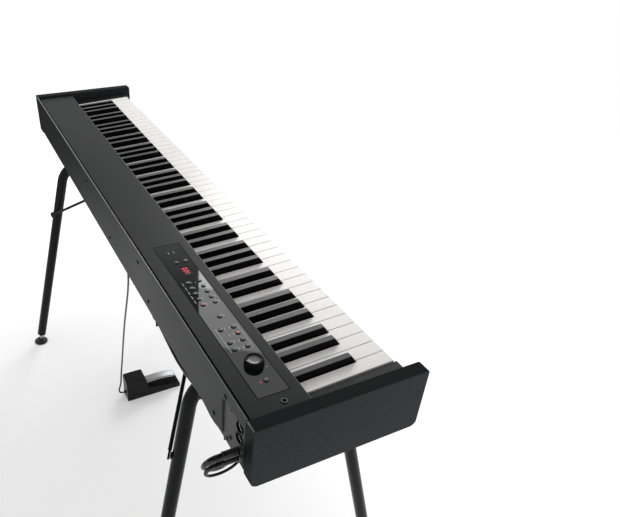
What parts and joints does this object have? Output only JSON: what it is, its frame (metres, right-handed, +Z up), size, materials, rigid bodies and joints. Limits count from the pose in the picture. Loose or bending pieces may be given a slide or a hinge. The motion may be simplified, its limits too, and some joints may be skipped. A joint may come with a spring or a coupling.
{
  "type": "stage piano",
  "caption": "Slim electronic stage piano on two bent-tube stand frames, with a sprung keyboard, control panel, jack board, damper pedal and its leads.",
  "frame": {"origin": "on the floor, under the middle of the box round the whole piano, stand and pedal", "axes": "+X to the treble end along the keyboard, +Y away from the player to the rear panel, +Z up"},
  "size_m": [1.327, 0.5654, 0.73],
  "materials": {
    "painted_steel": "satin black powder coat",
    "cheek_finish": "dark grey coat with a fine leather-like grain",
    "key_white": "satin moulded white",
    "key_black": "matt moulded black",
    "black_plastic": "fine satin moulding",
    "gloss_panel": "polished dark panel",
    "smoked": "smoked red window",
    "board": "glass-filled circuit board",
    "bare_steel": "zinc plated folded sheet",
    "plate_steel": "dark grey coat",
    "felt": "wool felt",
    "stand_black": "black stove enamel",
    "rubber": "moulded rubber",
    "chrome": "bright plated steel",
    "cord": "flexible cord sheath"
  },
  "bodies": {
    "case": {"cheek_bass": "cheek_finish", "cheek_treble": "cheek_finish", "rear_panel": "painted_steel", "main_board": "board", "bottom_tray": "painted_steel", "key_slip": "painted_steel", "end_block_bass": "black_plastic", "end_block_treble": "black_plastic", "control_panel": "gloss_panel", "display_window": "smoked", "panel_board": "board", "top_cover": "painted_steel", "jack_plate": "plate_steel", "jack_board": "black_plastic", "key_frame": "bare_steel", "stop_felt": "felt", "stand_frame_bass": "stand_black", "stand_frame_treble": "stand_black", "saddle_pad_bass": "rubber", "saddle_pad_treble": "rubber", "brace_rod_bass": "stand_black", "brace_rod_treble": "stand_black", "pedal_housing": "black_plastic", "pedal_sole": "rubber", "pedal_gland": "rubber", "damper_plug": "black_plastic", "line_plug": "black_plastic", "damper_lead": "cord", "line_lead": "cord", "line_coil": "cord", "line_end_plug": "black_plastic", "coil_tie": "rubber"},
    "key_A_0": {"key_A_0": "key_white"},
    "key_A_sharp_0": {"key_A_sharp_0": "key_black"},
    "key_B_0": {"key_B_0": "key_white"},
    "key_C_1": {"key_C_1": "key_white"},
    "key_C_sharp_1": {"key_C_sharp_1": "key_black"},
    "key_D_1": {"key_D_1": "key_white"},
    "key_D_sharp_1": {"key_D_sharp_1": "key_black"},
    "key_E_1": {"key_E_1": "key_white"},
    "key_F_1": {"key_F_1": "key_white"},
    "key_F_sharp_1": {"key_F_sharp_1": "key_black"},
    "key_G_1": {"key_G_1": "key_white"},
    "key_G_sharp_1": {"key_G_sharp_1": "key_black"},
    "white_keys_A1_to_B4": {"white_keys_A1_to_B4": "key_white"},
    "white_keys_C5_to_C8": {"white_keys_C5_to_C8": "key_white"},
    "black_keys_A_sharp_1_to_A_sharp_4": {"black_keys_A_sharp_1_to_A_sharp_4": "key_black"},
    "black_keys_C_sharp_5_to_A_sharp_7": {"black_keys_C_sharp_5_to_A_sharp_7": "key_black"},
    "power_button": {"power_button": "black_plastic"},
    "display_buttons": {"display_buttons": "black_plastic"},
    "sound_buttons_front": {"sound_buttons_front": "black_plastic"},
    "sound_buttons_rear": {"sound_buttons_rear": "black_plastic"},
    "function_buttons_front": {"function_buttons_front": "black_plastic"},
    "function_buttons_rear": {"function_buttons_rear": "black_plastic"},
    "volume_knob": {"volume_knob": "black_plastic"},
    "levelling_foot_bass_front": {"levelling_foot_bass_front": "rubber"},
    "levelling_foot_bass_rear": {"levelling_foot_bass_rear": "rubber"},
    "levelling_foot_treble_front": {"levelling_foot_treble_front": "rubber"},
    "levelling_foot_treble_rear": {"levelling_foot_treble_rear": "rubber"},
    "pedal_lever": {"pedal_lever": "chrome"}
  },
  "joints": [
    {"name": "key_A_0_hinge", "type": "hinge", "parent": "case", "child": "key_A_0", "pos_m": [0, 0.1052, 0.68], "axis": [1, 0, 0], "range_deg": [0, 2.75], "stiffness_Nm_per_rad": 0.6, "springref_deg": -17.19},
    {"name": "key_A_sharp_0_hinge", "type": "hinge", "parent": "case", "child": "key_A_sharp_0", "pos_m": [0, 0.1052, 0.68], "axis": [1, 0, 0], "range_deg": [0, 2.75], "stiffness_Nm_per_rad": 0.6, "springref_deg": -17.19},
    {"name": "key_B_0_hinge", "type": "hinge", "parent": "case", "child": "key_B_0", "pos_m": [0, 0.1052, 0.68], "axis": [1, 0, 0], "range_deg": [0, 2.75], "stiffness_Nm_per_rad": 0.6, "springref_deg": -17.19},
    {"name": "key_C_1_hinge", "type": "hinge", "parent": "case", "child": "key_C_1", "pos_m": [0, 0.1052, 0.68], "axis": [1, 0, 0], "range_deg": [0, 2.75], "stiffness_Nm_per_rad": 0.6, "springref_deg": -17.19},
    {"name": "key_C_sharp_1_hinge", "type": "hinge", "parent": "case", "child": "key_C_sharp_1", "pos_m": [0, 0.1052, 0.68], "axis": [1, 0, 0], "range_deg": [0, 2.75], "stiffness_Nm_per_rad": 0.6, "springref_deg": -17.19},
    {"name": "key_D_1_hinge", "type": "hinge", "parent": "case", "child": "key_D_1", "pos_m": [0, 0.1052, 0.68], "axis": [1, 0, 0], "range_deg": [0, 2.75], "stiffness_Nm_per_rad": 0.6, "springref_deg": -17.19},
    {"name": "key_D_sharp_1_hinge", "type": "hinge", "parent": "case", "child": "key_D_sharp_1", "pos_m": [0, 0.1052, 0.68], "axis": [1, 0, 0], "range_deg": [0, 2.75], "stiffness_Nm_per_rad": 0.6, "springref_deg": -17.19},
    {"name": "key_E_1_hinge", "type": "hinge", "parent": "case", "child": "key_E_1", "pos_m": [0, 0.1052, 0.68], "axis": [1, 0, 0], "range_deg": [0, 2.75], "stiffness_Nm_per_rad": 0.6, "springref_deg": -17.19},
    {"name": "key_F_1_hinge", "type": "hinge", "parent": "case", "child": "key_F_1", "pos_m": [0, 0.1052, 0.68], "axis": [1, 0, 0], "range_deg": [0, 2.75], "stiffness_Nm_per_rad": 0.6, "springref_deg": -17.19},
    {"name": "key_F_sharp_1_hinge", "type": "hinge", "parent": "case", "child": "key_F_sharp_1", "pos_m": [0, 0.1052, 0.68], "axis": [1, 0, 0], "range_deg": [0, 2.75], "stiffness_Nm_per_rad": 0.6, "springref_deg": -17.19},
    {"name": "key_G_1_hinge", "type": "hinge", "parent": "case", "child": "key_G_1", "pos_m": [0, 0.1052, 0.68], "axis": [1, 0, 0], "range_deg": [0, 2.75], "stiffness_Nm_per_rad": 0.6, "springref_deg": -17.19},
    {"name": "key_G_sharp_1_hinge", "type": "hinge", "parent": "case", "child": "key_G_sharp_1", "pos_m": [0, 0.1052, 0.68], "axis": [1, 0, 0], "range_deg": [0, 2.75], "stiffness_Nm_per_rad": 0.6, "springref_deg": -17.19},
    {"name": "white_keys_A1_to_B4_hinge", "type": "hinge", "parent": "case", "child": "white_keys_A1_to_B4", "pos_m": [0, 0.1052, 0.68], "axis": [1, 0, 0], "range_deg": [0, 2.75], "stiffness_Nm_per_rad": 13.8, "springref_deg": -17.19},
    {"name": "white_keys_C5_to_C8_hinge", "type": "hinge", "parent": "case", "child": "white_keys_C5_to_C8", "pos_m": [0, 0.1052, 0.68], "axis": [1, 0, 0], "range_deg": [0, 2.75], "stiffness_Nm_per_rad": 13.2, "springref_deg": -17.19},
    {"name": "black_keys_A_sharp_1_to_A_sharp_4_hinge", "type": "hinge", "parent": "case", "child": "black_keys_A_sharp_1_to_A_sharp_4", "pos_m": [0, 0.1052, 0.68], "axis": [1, 0, 0], "range_deg": [0, 2.75], "stiffness_Nm_per_rad": 9.6, "springref_deg": -17.19},
    {"name": "black_keys_C_sharp_5_to_A_sharp_7_hinge", "type": "hinge", "parent": "case", "child": "black_keys_C_sharp_5_to_A_sharp_7", "pos_m": [0, 0.1052, 0.68], "axis": [1, 0, 0], "range_deg": [0, 2.75], "stiffness_Nm_per_rad": 9, "springref_deg": -17.19},
    {"name": "power_button_press", "type": "slide", "parent": "case", "child": "power_button", "axis": [0, 0, -1], "range_m": [0, 0.0008], "stiffness_N_per_m": 1000, "springref_m": -0.0005},
    {"name": "display_buttons_press", "type": "slide", "parent": "case", "child": "display_buttons", "axis": [0, 0, -1], "range_m": [0, 0.0008], "stiffness_N_per_m": 1000, "springref_m": -0.0005},
    {"name": "sound_buttons_front_press", "type": "slide", "parent": "case", "child": "sound_buttons_front", "axis": [0, 0, -1], "range_m": [0, 0.0008], "stiffness_N_per_m": 1000, "springref_m": -0.0005},
    {"name": "sound_buttons_rear_press", "type": "slide", "parent": "case", "child": "sound_buttons_rear", "axis": [0, 0, -1], "range_m": [0, 0.0008], "stiffness_N_per_m": 1000, "springref_m": -0.0005},
    {"name": "function_buttons_front_press", "type": "slide", "parent": "case", "child": "function_buttons_front", "axis": [0, 0, -1], "range_m": [0, 0.0008], "stiffness_N_per_m": 1000, "springref_m": -0.0005},
    {"name": "function_buttons_rear_press", "type": "slide", "parent": "case", "child": "function_buttons_rear", "axis": [0, 0, -1], "range_m": [0, 0.0008], "stiffness_N_per_m": 1000, "springref_m": -0.0005},
    {"name": "volume_turn", "type": "hinge", "parent": "case", "child": "volume_knob", "pos_m": [-0.5535, 0.0853, 0.72], "axis": [0, 0, 1], "range_deg": [-150, 150]},
    {"name": "levelling_foot_bass_front_turn", "type": "hinge", "parent": "case", "child": "levelling_foot_bass_front", "pos_m": [-0.50398, -0.26323, 0.0095], "axis": [0, 0, 1], "continuous": true},
    {"name": "levelling_foot_bass_rear_turn", "type": "hinge", "parent": "case", "child": "levelling_foot_bass_rear", "pos_m": [-0.50398, 0.26323, 0.0095], "axis": [0, 0, 1], "continuous": true},
    {"name": "levelling_foot_treble_front_turn", "type": "hinge", "parent": "case", "child": "levelling_foot_treble_front", "pos_m": [0.50398, -0.26323, 0.0095], "axis": [0, 0, 1], "continuous": true},
    {"name": "levelling_foot_treble_rear_turn", "type": "hinge", "parent": "case", "child": "levelling_foot_treble_rear", "pos_m": [0.50398, 0.26323, 0.0095], "axis": [0, 0, 1], "continuous": true},
    {"name": "pedal_press", "type": "hinge", "parent": "case", "child": "pedal_lever", "pos_m": [0.1605, 0.0502, 0.044], "axis": [1, 0, 0], "range_deg": [0, 8], "stiffness_Nm_per_rad": 5, "springref_deg": -5.73}
  ]
}
